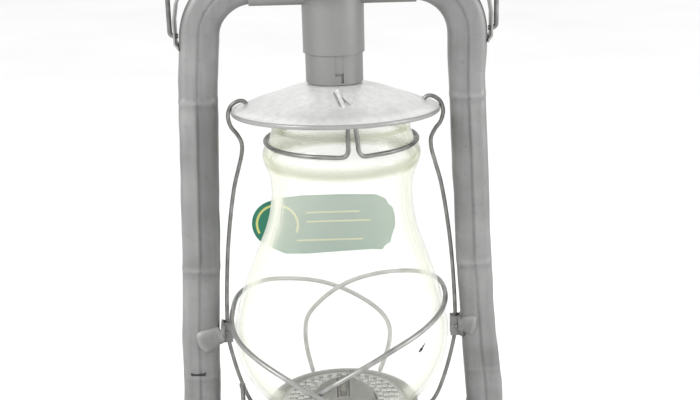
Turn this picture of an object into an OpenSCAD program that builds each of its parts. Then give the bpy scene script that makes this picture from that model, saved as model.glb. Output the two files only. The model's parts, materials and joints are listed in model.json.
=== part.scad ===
// Tubular storm lantern: kerosene fount, air tubes, sliding chimney and lifting globe cage.
// Millimetres, +Z up, front towards -Y, origin on the floor under the middle of the fount.

/* [Frame] */
// Height of the canopy rim above the floor
rim_z = 257; // [252:1:264]
// Width of an air tube, seen from the front
tube_w = 19.5; // [18:0.5:20]
// Depth of an air tube, front to back
tube_d = 14; // [12:0.5:15]
// Half distance between the tube centrelines at the crimp
crimp_x = 71.8; // [71:0.1:73]
// Lean of the tubes above the crimp
upper_lean = 2.5; // [1.5:0.1:3]
// Lean of the tubes below the crimp
lower_lean = 3.9; // [3:0.1:4.5]
// Centreline radius of the upper tube bend
top_bend_r = 27; // [24:1:30]
// Centreline radius of the lower tube bend
low_bend_r = 21; // [18:1:24]

/* [Fount] */
// Outer diameter of the fount
fount_d = 168; // [160:1:176]
// Height of the fount shoulder
shoulder_z = 42; // [38:1:44]
// Height of the flat middle of the fount top
fount_h = 60; // [58:0.5:60]
// Diameter of the filler cap
cap_d = 31; // [28:1:32]

/* [Globe] */
// Gap between the glass and the middle of the inner guard wire
guard_gap = 2.3; // [2:0.1:2.6]
// Thickness of the glass
glass_t = 2; // [1.5:0.1:2.5]
// Wire diameter of the globe guard
guard_wire_d = 2.6; // [2.2:0.1:2.6]
// Wire diameter of the lifter wires
lifter_wire_d = 2.1; // [1.8:0.1:2.2]

/* [Chimney and bail] */
// Outer radius of the sliding chimney sleeve
sleeve_r = 14.4; // [14:0.1:15]
// Radius of the rain cap on the chimney
rain_cap_r = 33; // [30:1:36]
// Wire diameter of the bail
bail_wire_d = 2.4; // [2:0.1:2.6]
// Height of the bail above its pivots
bail_rise = 134; // [132:1:150]

/* [Hidden] */

$fn = 64;
sheet = 0.7;            // thickness of the sheet metal
fit = 0.3;              // gap between pieces that slide past each other
pin_fit = 0.05;         // gap round a pin or shaft
fount_r = fount_d / 2;
arm_low_z = fount_h + 2.5 + tube_w / 2;
arm_top_z = rim_z + 63.7;
crimp_z = rim_z - 83;
chamber_r = 33;         // air chamber under the globe plate
chamber_top = 90;
plate_z = chamber_top + 0.6;
plate_r = 40;
glass_foot_r = 37.6;
grille_r = 31;
socket_x = 41;          // outer end of the crown sockets
socket_gap = 0.05;
crown_r = 30;
crown_z = [rim_z + 62, rim_z + 80, rim_z + 88];
sleeve_low = rim_z + 14.6;
sleeve_top = rim_z + 104;
outer_sleeve_low = rim_z + 29.4;
collar_r = sleeve_r - sheet - fit;
filler_at = [-41, -41, 56];
filler_r = 12.5;
spindle_at = [5.5, 0, 75];
spindle_r = 1.3;
wick_size = [2.4, 20];
lever_at = [-54, -10, 78];
lever_arm = 17;
lever_half_turn = 24;   // the lever turns from minus this to plus this about level
lever_wire_d = 2.4;
pivot_x = 81;         // outer legs of the bail
pivot_z = rim_z + 39;
strap_x = 78;         // upright of a bail ear
strap_t = 0.8;
ring_r = 11;
ring_lie = 12;          // the pull ring rests this much below level

// Outside of the glass, from the foot up: radius and height from the rim
glass_points = [
  [37.6, -165.3], [38.6, -161], [44.6, -152], [51.4, -142], [55.9, -130], [57.1, -118],
  [54.9, -106], [50.6, -92], [45.6, -78], [40.2, -64], [37.0, -50], [36.8, -36],
  [40.0, -26], [40.4, -21], [37.2, -15], [35.4, -9], [35.2, -1]
];
// Canopy, from the rim up: radius and height from the rim
canopy_points = [
  [51.6, 0.6], [49.4, 1.8], [43.5, 4.4], [38, 6.3], [33, 8], [28, 9.8], [23.5, 11.3], [18.5, 12.6], [14, 13.5]
];
// Route of each guard wire round the glass: bearing in degrees and height from the rim
left_guard_route = [
  [61, -163], [58, -157], [57, -150], [58, -142], [63, -135], [73, -128], [87, -119],
  [101, -114], [120, -110], [135, -107.5], [151, -106], [166, -105.5], [180, -107],
  [193, -110], [207, -113], [226, -117], [241, -122], [254, -129], [267, -137],
  [279, -146], [288, -156], [291, -163]
];
right_guard_route = [
  [119, -163], [121, -157], [121, -150], [119, -142], [115, -135], [104, -128], [88, -119.5],
  [73, -112], [53, -105.5], [32, -101], [14, -99], [0, -99.5], [-15, -101.5],
  [-38, -104.5], [-60, -109], [-73, -113.5], [-87, -120.5], [-101, -130], [-110, -140],
  [-115, -149], [-118, -157], [-118, -163]
];
// Route of a lifter wire: distance from the axis and height from the rim
lifter_route = [
  [44.6, 0.5], [44.8, 3.4], [46.6, 5.3], [49.8, 5], [53.1, 2.4], [54.6, -2.4], [53.4, -7.8],
  [50.4, -12], [48.4, -16.5], [48.6, -22], [50.4, -29], [53.4, -40], [56.2, -56],
  [58.6, -75], [60.2, -95], [61, -112], [60.9, -124], [59, -135], [55.8, -148],
  [51.6, -160], [47.4, -166.2], [42.4, -167.8]
];

// ---- helpers ----

function unit(v) = v / norm(v);
function curve_at(a, b, c, d, t) =
  0.5 * (2 * b + (c - a) * t + (2 * a - 5 * b + 4 * c - d) * t * t + (3 * b - a - 3 * c + d) * t * t * t);
// A smooth line through the points, with n steps between neighbours
function smooth(p, n) = [
  for (i = [0 : len(p) - 2], k = [0 : n - 1])
    curve_at(p[max(i - 1, 0)], p[i], p[i + 1], p[min(i + 2, len(p) - 1)], k / n),
  p[len(p) - 1]
];
function tangent(p, i) = unit(p[min(i + 1, len(p) - 1)] - p[max(i - 1, 0)]);
function square_to(n, t) = unit(n - (n * t) * t);
function any_normal(t) = square_to(abs(t[2]) < 0.9 ? [0, 0, 1] : [1, 0, 0], t);
// One normal per point, each turned as little as possible from the last
function normals(p, i = 0, out = []) =
  i == len(p) ? out
  : normals(p, i + 1, concat(out, [
      i == 0 ? any_normal(tangent(p, 0)) : square_to(out[i - 1], tangent(p, i))]));

// A round wire along a list of points
module wire(p, d, sides = 8) {
  side = normals(p);
  rings = len(p);
  pts = [
    for (i = [0 : rings - 1], k = [0 : sides - 1])
      let (a = 360 * k / sides, up = cross(tangent(p, i), side[i]))
        p[i] + d / 2 * (cos(a) * side[i] + sin(a) * up)
  ];
  walls = [
    for (i = [0 : rings - 2], k = [0 : sides - 1])
      let (a = i * sides + k, b = i * sides + (k + 1) % sides)
        [a, a + sides, b + sides, b]
  ];
  ends = [
    [for (k = [0 : sides - 1]) k],
    [for (k = [0 : sides - 1]) rings * sides - 1 - k]
  ];
  polyhedron(points = pts, faces = concat(walls, ends), convexity = 6);
}

module mirrored(left) {
  if (left) mirror([1, 0, 0]) children();
  else children();
}

module ring(r_out, r_in, h) {
  difference() {
    cylinder(r = r_out, h = h);
    translate([0, 0, -1]) cylinder(r = r_in, h = h + 2);
  }
}

// A rectangle with round corners, made of true arcs
module round_rect(w, d, r) {
  square([w - 2 * r, d], center = true);
  square([w, d - 2 * r], center = true);
  for (x = [-1, 1], y = [-1, 1])
    translate([x * (w / 2 - r), y * (d / 2 - r)]) circle(r = r);
}

// A sheet revolved about the axis: line is its outer face, t its thickness inwards or downwards
module spun_sheet(line, shift) {
  rotate_extrude()
    polygon(concat(line, [for (i = [len(line) - 1 : -1 : 0]) line[i] + shift]));
}

// ---- air tubes: a section carried along straights and bends ----

top_turn = 90 - upper_lean;
function on_upper(z) = [crimp_x - (z - crimp_z) * tan(upper_lean), z, upper_lean - 90];
function on_lower(z) = [crimp_x + (crimp_z - z) * tan(lower_lean), z, lower_lean - 90];
top_end = on_upper(arm_top_z - top_bend_r * (1 - cos(top_turn)));
top_start_x = top_end[0] - top_bend_r * sin(top_turn);
low_start = on_lower(arm_low_z + low_bend_r * (1 + sin(lower_lean)));
low_centre_x = low_start[0] - low_bend_r * cos(lower_lean);
tube_in_x = 24;         // inner end of the upper arm, inside its socket
crimp_h = 1.6;          // half height of a crimp bead
crimp_proud = 0.8;
bend_steps = 9;

// Three stations that make a bead: x, z, heading and how far the section stands proud
function bead(p) = let (d = crimp_h * [cos(p[2]), sin(p[2])]) [
  [p[0] - d[0], p[1] - d[1], p[2], 0], [p[0], p[1], p[2], crimp_proud], [p[0] + d[0], p[1] + d[1], p[2], 0]
];
tube_path = concat(
  [[tube_in_x, arm_top_z, 0, 0]],
  [for (k = [0 : bend_steps]) let (t = top_turn * k / bend_steps)
    [top_start_x + top_bend_r * sin(t), arm_top_z - top_bend_r * (1 - cos(t)), -t, 0]],
  bead(on_upper(rim_z + 6)), bead(on_upper(crimp_z)), bead(on_lower(rim_z - 144)),
  [for (k = [0 : bend_steps]) let (t = lower_lean - (90 + lower_lean) * k / bend_steps)
    [low_centre_x + low_bend_r * cos(t), arm_low_z + low_bend_r * (1 + sin(t)), t - 90, 0]],
  [[chamber_r + 0.02, arm_low_z, -180, 0]]
);

function corner(x, y, r, from) = [for (a = [from : 30 : from + 90]) [x + r * cos(a), y + r * sin(a)]];
// Half of the section outline: flat sides, round corners and a crease along the middle
function half_outline(w, d) = concat(
  corner(w / 2 - 3, d / 2 - 3, 3, 0), [[1.4, d / 2], [0, d / 2 - 0.8], [-1.4, d / 2]],
  corner(-w / 2 + 3, d / 2 - 3, 3, 90)
);
function outline(w, d) = let (half = half_outline(w, d)) concat(half, [for (p = half) -p]);
function core(w, d) = [for (s = [[1, 1], [-1, 1], [-1, -1], [1, -1]]) [s[0] * w / 2, s[1] * d / 2]];

// A solid whose section at each station is the matching list in sections
module sweep(path, sections) {
  count = len(sections[0]);
  rings = len(path);
  pts = [for (i = [0 : rings - 1], q = sections[i])
    [path[i][0] - q[0] * sin(path[i][2]), q[1], path[i][1] + q[0] * cos(path[i][2])]];
  walls = [for (i = [0 : rings - 2], k = [0 : count - 1])
    let (a = i * count + k, b = i * count + (k + 1) % count) [a, b, b + count, a + count]];
  ends = [[for (k = [count - 1 : -1 : 0]) k], [for (k = [0 : count - 1]) (rings - 1) * count + k]];
  polyhedron(points = pts, faces = concat(walls, ends), convexity = 8);
}
module air_tube(left) {
  // the seamed ends stay closed where they enter the crown and the chamber
  last = len(tube_path) - 1;
  bore = [for (i = [0:last]) tube_path[i] + [i == 0 || i == last ? 1 : 0, 0, 0, 0]];
  color("darkgray") mirrored(left) difference() {
    sweep(tube_path, [for (p = tube_path) outline(tube_w + p[3], tube_d + 2 * p[3])]);
    sweep(bore, [for (p = bore) core(tube_w - 4 * sheet, tube_d - 4 * sheet)]);
  }
}
module left_air_tube() { air_tube(true); }
module right_air_tube() { air_tube(false); }

// ---- fount ----

module fount_pan() {
  color("gray") {
    rotate_extrude() polygon([
      [0, 3], [fount_r - 7, 3], [fount_r - 4, 0], [fount_r - 1.2, 0], [fount_r, 1.4], [fount_r, 9],
      [fount_r - sheet, 9], [fount_r - sheet, 1.8], [fount_r - 1.6, 0.9], [fount_r - 3.7, 0.9],
      [fount_r - 6.6, 3 + sheet], [0, 3 + sheet]
    ]);
    translate([0, 0, 8]) rotate_extrude() translate([fount_r - 0.6, 0]) circle(r = 1.1);
  }
}
module fount_line() {
  top_slope = [[fount_r - 13, shoulder_z + 11.4], [30, fount_h - 0.4], [22, fount_h]];
  shoulder = [for (a = [0 : 15 : 75]) [fount_r - 15 + 13 * cos(a), shoulder_z + 13 * sin(a) * 0.9]];
  polygon(concat([[0, 9.2], [fount_r - 2, 9.2]], shoulder, top_slope, [[0, fount_h]]));
}
module fount_shell() {
  color("darkgray") difference() {
    rotate_extrude() fount_line();
    translate([0, 0, -sheet]) rotate_extrude() intersection() {
      translate([-sheet, 0]) fount_line();
      square([fount_r, 100]);
    }
    translate([0, 0, 40]) cylinder(r = 13.5, h = 40);
    translate([filler_at[0], filler_at[1], 30]) cylinder(r = filler_r - 0.6, h = 60);
  }
}
module filler_neck() {
  color("silver") translate(filler_at) difference() {
    union() {
      translate([0, 0, -6]) cylinder(r = filler_r, h = 14);
      translate([0, 0, 0.2]) cylinder(r = filler_r + 3, h = 2);
    }
    translate([0, 0, -10]) cylinder(r = filler_r - sheet, h = 30);
    difference() {
      translate([0, 0, -60]) cylinder(r = 60, h = 59.6);
      translate([0, 0, -60]) cylinder(r = filler_r - 0.6, h = 120);
    }
    translate([-filler_at[0], -filler_at[1], -filler_at[2]]) rotate_extrude() fount_line();
  }
}
module filler_gasket() {
  color("dimgray") translate(filler_at) translate([0, 0, 8.2]) ring(filler_r + 0.6, filler_r - 3, 1.2);
}
module filler_cap() {
  color("silver") translate(filler_at) translate([0, 0, 3]) difference() {
    union() {
      cylinder(r = cap_d / 2 - 0.7, h = 8);
      for (a = [0 : 15 : 345]) rotate(a) translate([cap_d / 2 - 0.8, 0, 0.5]) cylinder(r = 0.8, h = 7, $fn = 24);
      translate([0, 0, 7.9]) cylinder(r1 = cap_d / 2 - 1.2, r2 = cap_d / 2 - 3, h = 1.4);
      translate([0, 0, 9]) cylinder(r = 6, h = 0.9);
    }
    translate([0, 0, -1]) cylinder(r = filler_r + 0.9, h = 7.5);
  }
}

// ---- burner ----

module burner_collar() {
  color("goldenrod") translate([0, 0, fount_h]) ring(19, 13.2, 2.4);
}
module burner_body() {
  color("gray") difference() {
    translate([0, 0, fount_h + 2.4]) union() {
      ring(17.5, 16.8, 24);
      ring(17.5, 13, 1);
      translate([0, 0, 23]) ring(17.5, 5.8, 1);
      translate([spindle_at[0], 0, spindle_at[2] - fount_h - 2.4]) rotate([90, 0, 0])
        translate([0, 0, 15.8]) cylinder(r = 3.4, h = 4);
    }
    translate([0, 0, 70]) cube([wick_size[0] + 3.4, wick_size[1] + 3.4, 60], center = true);
    translate(spindle_at) rotate([90, 0, 0]) translate([0, 0, 5]) cylinder(r = spindle_r + pin_fit, h = 20);
  }
}
module wick_tube() {
  color("goldenrod") difference() {
    union() {
      translate([-2.65, -11.65, fount_h + 3.6]) cube([5.3, 23.3, 38]);
      translate([0, 0, fount_h + 2.4 + 24]) ring(14, 3, 0.8);
    }
    translate([-1.75, -10.75, 0]) cube([3.5, 21.5, 200]);
    translate([1, -8, spindle_at[2] - 6]) cube([4, 16, 12]);
  }
}
module burner_cone() {
  low = fount_h + 2.4 + 24;
  dome = [[17.4, 0], [17.4, 8], [16.2, 11.4], [13.6, 14.4], [10.6, 16.6], [7.6, 18]];
  color("dimgray") translate([0, 0, low]) difference() {
    rotate_extrude() polygon(concat(dome, [[0, 18.6], [0, 17.6]],
      [for (i = [5 : -1 : 0]) dome[i] - [0.7, i == 0 ? 0 : 0.5]]));
    translate([-3.6, -12, 8]) cube([7.2, 24, 20]);
  }
}
module wick() {
  color("ivory") translate([-wick_size[0] / 2, -wick_size[1] / 2, 22])
    cube([wick_size[0], wick_size[1], 82]);
}
module wick_spindle() {
  color("silver") translate(spindle_at) rotate([90, 0, 0]) {
    translate([0, 0, -7]) cylinder(r = spindle_r, h = 62);
    for (y = [-5.5, 4.5]) translate([0, 0, y]) difference() {
      cylinder(r = 3.7, h = 1);
      for (a = [0 : 30 : 330]) rotate(a) translate([3.9, 0, -1]) cylinder(r = 0.5, h = 3, $fn = 16);
    }
  }
}
module wick_knob() {
  color("silver") translate(spindle_at) rotate([90, 0, 0]) translate([0, 0, 51]) difference() {
    union() {
      cylinder(r = 9, h = 1.6);
      for (a = [0 : 18 : 342]) rotate(a) translate([9, 0, 0]) cylinder(r = 0.7, h = 1.6, $fn = 24);
      cylinder(r = 4, h = 3.2);
    }
    translate([0, 0, -1]) cylinder(r = spindle_r, h = 8);
  }
}

// ---- air chamber ----

module air_chamber() {
  color("darkgray") difference() {
    union() {
      translate([0, 0, fount_h]) ring(chamber_r, chamber_r - sheet, chamber_top - fount_h);
      translate([0, 0, fount_h]) ring(chamber_r, 20, 0.8);
      translate([0, 0, chamber_top]) rotate_extrude() translate([chamber_r - 0.9, 0]) circle(r = 0.6);
    }
    for (s = [-1, 1]) translate([s * chamber_r, 0, arm_low_z]) rotate([0, 90, 0])
      cube([tube_w - 4 * sheet, tube_d - 4 * sheet, 8], center = true);
    translate(spindle_at) rotate([90, 0, 0]) translate([0, 0, 25]) cylinder(r = spindle_r + fit, h = 20);
  }
}
// A sheet-metal foot between the fount and a tube bend
module tube_saddle(left) {
  color("gray") mirrored(left) difference() {
    translate([44, -tube_d / 2 + 1, 40]) cube([22, tube_d - 2, 40]);
    translate([46, -tube_d / 2 + 1.8, 30]) cube([18, tube_d - 3.6, 60]);
    rotate_extrude() fount_line();
    translate([20, -20, arm_low_z - tube_w / 2]) cube([60, 40, 40]);
    translate([low_centre_x, 0, arm_low_z + low_bend_r]) rotate([90, 0, 0])
      cylinder(r = low_bend_r + tube_w / 2, h = 40, center = true);
  }
}
module left_tube_saddle() { tube_saddle(true); }
module right_tube_saddle() { tube_saddle(false); }

// ---- crown and chimney ----

module socket_prism(grow, half_l) {
  translate([0, 0, arm_top_z]) rotate([0, 90, 0])
    linear_extrude(2 * half_l, center = true) round_rect(tube_w + grow, tube_d + grow, 3 + grow / 2);
}
module crown_shell() {
  color("darkgray") difference() {
    union() {
      socket_prism(2 * (sheet + socket_gap), socket_x);
      translate([0, 0, crown_z[0]]) cylinder(r1 = crown_r - 3, r2 = crown_r, h = 3);
      translate([0, 0, crown_z[0] + 3]) cylinder(r = crown_r, h = crown_z[1] - crown_z[0] - 3);
    }
    socket_prism(2 * socket_gap, socket_x + 1);
    translate([0, 0, crown_z[0] + sheet]) cylinder(r = crown_r - 3 - sheet, h = 4);
    translate([0, 0, crown_z[0] + 3.5]) cylinder(r = crown_r - sheet, h = 40);
    cylinder(r = sleeve_r + fit + sheet, h = 500);
  }
}
module crown_cover() {
  color("silver") translate([0, 0, crown_z[1]]) {
    rotate_extrude() polygon([
      [crown_r + 1, 0], [crown_r + 1, 1.2], [24, 5], [sleeve_r + fit + 0.9, 7.4], [sleeve_r + fit + 0.9, 10],
      [sleeve_r + fit, 10], [sleeve_r + fit, 6.6], [24, 4], [crown_r, 0.9], [crown_r, 0.3],
      [crown_r - sheet, 0.3], [crown_r - sheet, 0]
    ]);
  }
}
module outer_sleeve() {
  color("darkgray") translate([0, 0, outer_sleeve_low]) difference() {
    cylinder(r = sleeve_r + fit + sheet, h = crown_z[0] - outer_sleeve_low + 12);
    translate([0, 0, -1]) cylinder(r = sleeve_r + fit, h = 80);
  }
}
module inner_sleeve() {
  color("darkgray") translate([0, 0, sleeve_low]) difference() {
    cylinder(r = sleeve_r, h = sleeve_top - sleeve_low);
    translate([0, 0, -1]) cylinder(r = sleeve_r - sheet, h = 200);
    // locking notch at the front
    translate([3, -20, 1]) cube([1.4, 10, 4.8]);
    translate([0.4, -20, 4.6]) cube([4, 10, 1.2]);
  }
}
module vent_band() {
  color("silver") translate([0, 0, sleeve_top]) difference() {
    union() {
      ring(21, 20.3, 9);
      ring(21, sleeve_r - sheet, 0.7);
    }
    for (a = [0 : 20 : 340]) rotate(a) translate([18.5, 0, 3.6]) rotate([0, 90, 0])
      cylinder(r = 1.4, h = 4, $fn = 24);
  }
}
module rain_cap() {
  top = [[rain_cap_r, 0], [rain_cap_r - 0.4, 1.4], [28, 4], [20, 6.8], [10, 8.8], [0, 9.4]];
  color("silver") translate([0, 0, sleeve_top + 6.5]) {
    rotate_extrude() polygon(concat([for (p = top) p], [[0, 8.7], [10, 8.1], [20, 6.1], [21, 5.7], [21, 2.5],
      [22, 2.5], [28, 3.2], [rain_cap_r - 1.2, 0.9], [rain_cap_r - 0.8, 0]]));
    rotate_extrude() translate([rain_cap_r - 0.6, 0]) circle(r = 0.9);
  }
}
module ring_eye() {
  color("gray") translate([0, 0, sleeve_top + 15.8]) difference() {
    union() {
      translate([0, 0, 0.1]) cylinder(r = 5.5, h = 0.8);
      translate([-1, 0, 0]) rotate([0, 90, 0]) translate([-3.6, 0, 0]) cylinder(r = 3, h = 2);
      translate([-1, -3, 0.4]) cube([2, 6, 3.2]);
    }
    translate([0, 0, 3.6]) rotate([0, 90, 0]) cylinder(r = 1.4, h = 10, center = true);
  }
}
module pull_ring() {
  color("silver") translate([0, 0, sleeve_top + 19.4]) rotate([ring_lie, 0, 0])
    translate([0, -ring_r, 0]) rotate_extrude() translate([ring_r, 0]) circle(r = 1);
}

// ---- bail ----

module bail_ear(left) {
  side = rim_z + 30;
  outer = [
    [76.4, side + 2], [strap_x + strap_t, side + 5.4], [strap_x + strap_t, side + 17],
    [77.4, side + 25], [74.2, side + 33], [71.2, side + 37.6]
  ];
  inner = [
    [70.2, side + 36.9], [73.4, side + 32.4], [76.6, side + 24.7], [strap_x, side + 16.8],
    [strap_x, side + 5.8], [76, side + 3.2]
  ];
  color("gray") mirrored(left) difference() {
    translate([0, 5.5, 0]) rotate([90, 0, 0]) linear_extrude(11) polygon(concat(outer, inner));
    translate([strap_x - 1, 0, pivot_z]) rotate([0, 90, 0]) cylinder(r = bail_wire_d / 2 + pin_fit, h = 4);
    translate([top_start_x, 0, arm_top_z - top_bend_r]) rotate([90, 0, 0])
      cylinder(r = top_bend_r + tube_w / 2 + 0.02, h = 20, center = true);
    translate([top_end[0], -10, top_end[1]]) rotate([0, -upper_lean, 0])
      translate([0, 0, -60]) cube([tube_w / 2 + 0.02, 20, 60.2]);
  }
}
module left_bail_ear() { bail_ear(true); }
module right_bail_ear() { bail_ear(false); }

module bail() {
  foot_r = 2;
  leg_top = rim_z + 88;
  arch = pivot_z + bail_rise - leg_top;
  color("silver") {
    for (left = [false, true]) mirrored(left) {
      translate([pivot_x - foot_r, 0, pivot_z + foot_r]) rotate([90, 0, 0]) rotate_extrude(angle = -90)
        translate([foot_r, 0]) circle(r = bail_wire_d / 2);
      translate([strap_x - 1, 0, pivot_z]) rotate([0, 90, 0])
        cylinder(r = bail_wire_d / 2, h = pivot_x - foot_r - strap_x + 1);
      translate([pivot_x, 0, pivot_z + foot_r]) cylinder(r = bail_wire_d / 2, h = leg_top - pivot_z - foot_r);
    }
    translate([0, 0, leg_top]) rotate([90, 0, 0]) rotate_extrude(angle = 180)
      translate([pivot_x, 0]) circle(r = bail_wire_d / 2);
  }
}

// ---- wire guides and lift lever ----

// Two prongs and a solder cone, which keep the lifter wire beside its tube
module wire_guide(left) {
  z = rim_z - 120;
  face_x = crimp_x + (crimp_z - z) * tan(lower_lean) - tube_w / 2;
  color("gray") mirrored(left) difference() {
    union() {
      for (s = [-1, 1]) translate([58.4, s * 2.1 - 0.45, z - 5.5]) cube([face_x - 58, 0.9, 11]);
      translate([face_x - 2.4, 0, z]) rotate([0, 90, 0]) cylinder(r1 = 5.6, r2 = 7.2, h = 3);
      for (s = [-1, 1]) translate([face_x - 3, s * 2.5, z]) rotate([90, 0, 0]) sphere(r = 1.2);
    }
    translate([face_x - 0.05, -20, z]) rotate([0, -lower_lean, 0]) translate([0, 0, -30]) cube([40, 40, 60]);
    translate([50, -1.65, z - 20]) cube([13.2, 3.3, 40]);
  }
}
module left_wire_guide() { wire_guide(true); }
module right_wire_guide() { wire_guide(false); }

module lever_bracket() {
  face = -tube_d / 2;
  color("gray") translate([lever_at[0], 0, lever_at[2]]) difference() {
    union() {
      translate([-7, face - 0.8, -8]) cube([14, 0.8, 12]);
      rotate([90, 0, 0]) cylinder(r = 1.5, h = 12.6);
      translate([0, -11.6, 0]) rotate([90, 0, 0]) cylinder(r = 2.6, h = 1);
    }
    translate([-20, face, -20]) cube([40, 30, 40]);
  }
}
module lift_lever() {
  foot_at = lever_arm * [cos(lever_half_turn), -sin(lever_half_turn)];
  color("silver") translate(lever_at) {
    difference() {
      rotate([90, 0, 0]) cylinder(r = 3.1, h = 2.6, center = true);
      rotate([90, 0, 0]) cylinder(r = 1.5 + pin_fit, h = 10, center = true);
    }
    translate([0, 0, 2.6]) cylinder(r = lever_wire_d / 2, h = 29);
    translate([0, 0, 30.6]) cylinder(r = lever_wire_d / 2 + 0.4, h = 1.8);
    rotate([0, lever_half_turn, 0]) translate([2.6, 0, 0]) rotate([0, 90, 0])
      cylinder(r = lever_wire_d / 2, h = lever_arm - 2.6);
    translate([foot_at[0], 0, foot_at[1]]) rotate([90, 0, 0])
      cylinder(r = lever_wire_d / 2 + 0.2, h = 4.4, center = true);
  }
}
// The tab on the globe plate that the lever's foot pushes up
module lift_tongue() {
  tip = lever_at + [lever_arm * cos(lever_half_turn), 0, -lever_arm * sin(lever_half_turn) + lever_wire_d / 2 + 0.2];
  low = tip[2] + 0.9;
  color("gray") {
    translate([tip[0] - 1.8, tip[1] - 3, low]) cube([4.8, 6, 0.9]);
    translate([tip[0] - 1.8, tip[1] - 3, low]) cube([0.9, 6, plate_z + 0.7 - low]);
    translate([tip[0] - 1.8, tip[1] - 3, plate_z - 0.1]) cube([4.8, 6, 0.8]);
  }
}

// ---- globe cage ----

module globe_plate() {
  // rolled edge, seat for the glass, raised band and the ledge that holds the grille
  color("darkgray") difference() {
    union() {
      translate([0, 0, plate_z]) rotate_extrude() polygon([
        [plate_r, 0], [plate_r, 2.6], [plate_r - 0.7, 2.6], [plate_r - 0.7, 0.8], [35, 0.8], [32.4, 4.6],
        [grille_r - 1, 4.6], [grille_r - 1, 3.9], [32, 3.9], [34.6, 0]
      ]);
      translate([0, 0, plate_z + 2.6]) rotate_extrude() translate([plate_r - 0.2, 0]) circle(r = 0.8);
    }
    lift_tongue();
  }
}
module plate_grille() {
  color("silver") translate([0, 0, plate_z + 3.2]) difference() {
    cylinder(r = grille_r, h = 0.7);
    translate([0, 0, -1]) cylinder(r = 18.6, h = 3);
    for (r = [20.6 : 2.9 : 29.4]) for (a = [0 : 360 / round(r * 1.15) : 359])
      rotate(a + r * 7) translate([r, 0, -1]) cylinder(r = 0.85, h = 3, $fn = 16);
  }
}
module globe() {
  outer = smooth(glass_points, 4);
  shrink = [for (i = [0 : len(outer) - 1]) let (t = tangent(outer, i)) outer[i] + glass_t * [-t[1], t[0]]];
  color("lightcyan", 0.4) translate([0, 0, rim_z]) rotate_extrude()
    polygon(concat(outer, [for (i = [len(shrink) - 1 : -1 : 0]) shrink[i]]));
}
function glass_r_at(z, i = 0) =
  i >= len(glass_points) - 2 || z <= glass_points[i + 1][1]
  ? glass_points[i][0] + (glass_points[i + 1][0] - glass_points[i][0])
    * (z - glass_points[i][1]) / (glass_points[i + 1][1] - glass_points[i][1])
  : glass_r_at(z, i + 1);
// One wire passes outside the other where they cross at the front and the back; beside the tubes and at the
// plate both lie close to the glass
module guard_wire(route, over) {
  path = [for (p = smooth(route, 3))
    let (stand_off = over * min(1, 1.15 * abs(sin(p[0]))) * min(1, (p[1] + 163.01) / 14),
      r = glass_r_at(p[1]) + guard_gap + stand_off)
    [r * cos(p[0]), r * sin(p[0]), rim_z + p[1]]];
  color("darkgray") wire(path, guard_wire_d);
}
module left_guard_wire() { guard_wire(left_guard_route, guard_wire_d + 0.2); }
module right_guard_wire() { guard_wire(right_guard_route, 0); }
module lifter_wire(left) {
  color("gray") mirrored(left) wire([for (p = smooth(lifter_route, 3)) [p[0], 0, rim_z + p[1]]], lifter_wire_d);
}
module left_lifter_wire() { lifter_wire(true); }
module right_lifter_wire() { lifter_wire(false); }

module canopy() {
  line = smooth(canopy_points, 3);
  under = [for (i = [len(line) - 1 : -1 : 0]) line[i] - [0.4, 0.6]];
  color("lightgray") translate([0, 0, rim_z]) difference() {
    union() {
      rotate_extrude() polygon(concat(line, under));
      rotate_extrude() translate([51.9, 0]) circle(r = 1.2);
      translate([0, 0, 13.3]) ring(collar_r, collar_r - sheet, 11);
      translate([0, 0, 13.3]) ring(collar_r + 1, collar_r - sheet, 0.6);
    }
    for (s = [-1, 1]) translate([s * 45, 0, 0]) cylinder(r = lifter_wire_d / 2 + 0.5, h = 9);
  }
}
// An open wire ring round the glass neck, its two ends turned up under the canopy
module neck_spring() {
  gap_at = 278;
  open_half = 4;
  turns = 34;
  ring_at = 38.8;
  ends = [for (s = [-1, 1]) let (a = gap_at + s * open_half) [ring_at * cos(a), ring_at * sin(a)]];
  around = [for (k = [0 : turns]) let (a = gap_at + open_half + 3.5 + k * (353 - 2 * open_half) / turns)
    [ring_at * cos(a), ring_at * sin(a), -15.5]];
  path = concat(
    [for (z = [4, -3, -9, -13.5]) [ends[1][0] - 0.12 * (z + 13.5), ends[1][1] + 0.1 * (z + 13.5), z]],
    around,
    [for (z = [-13.5, -9, -3, 4]) [ends[0][0] + 0.02 * (z + 13.5), ends[0][1] + 0.1 * (z + 13.5), z]]
  );
  color("gray") wire([for (p = smooth(path, 2)) p + [0, 0, rim_z]], 2.2);
}
module paper_tag() {
  w = 78;
  h = 37;
  slope = atan(12 / 32);
  color("seagreen") translate([-8, 46.2, rim_z - 77]) rotate([90 + slope, 0, 0]) translate([0, 0, -0.8])
    linear_extrude(0.5) round_rect(w, h, 9);
}

fount_pan();
fount_shell();
filler_neck();
filler_gasket();
filler_cap();
burner_collar();
burner_body();
wick_tube();
burner_cone();
wick();
wick_spindle();
wick_knob();
air_chamber();
left_tube_saddle();
right_tube_saddle();
left_air_tube();
right_air_tube();
crown_shell();
crown_cover();
outer_sleeve();
left_bail_ear();
right_bail_ear();
left_wire_guide();
right_wire_guide();
lever_bracket();
lift_lever();
lift_tongue();
globe_plate();
plate_grille();
globe();
left_guard_wire();
right_guard_wire();
left_lifter_wire();
right_lifter_wire();
canopy();
neck_spring();
paper_tag();
inner_sleeve();
vent_band();
rain_cap();
ring_eye();
pull_ring();
bail();
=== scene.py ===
"""Tubular storm lantern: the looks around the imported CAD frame. Metres, the frame's own axes."""

import json
import math

import bmesh
import bpy
from mathutils import Matrix, Vector, noise


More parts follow.
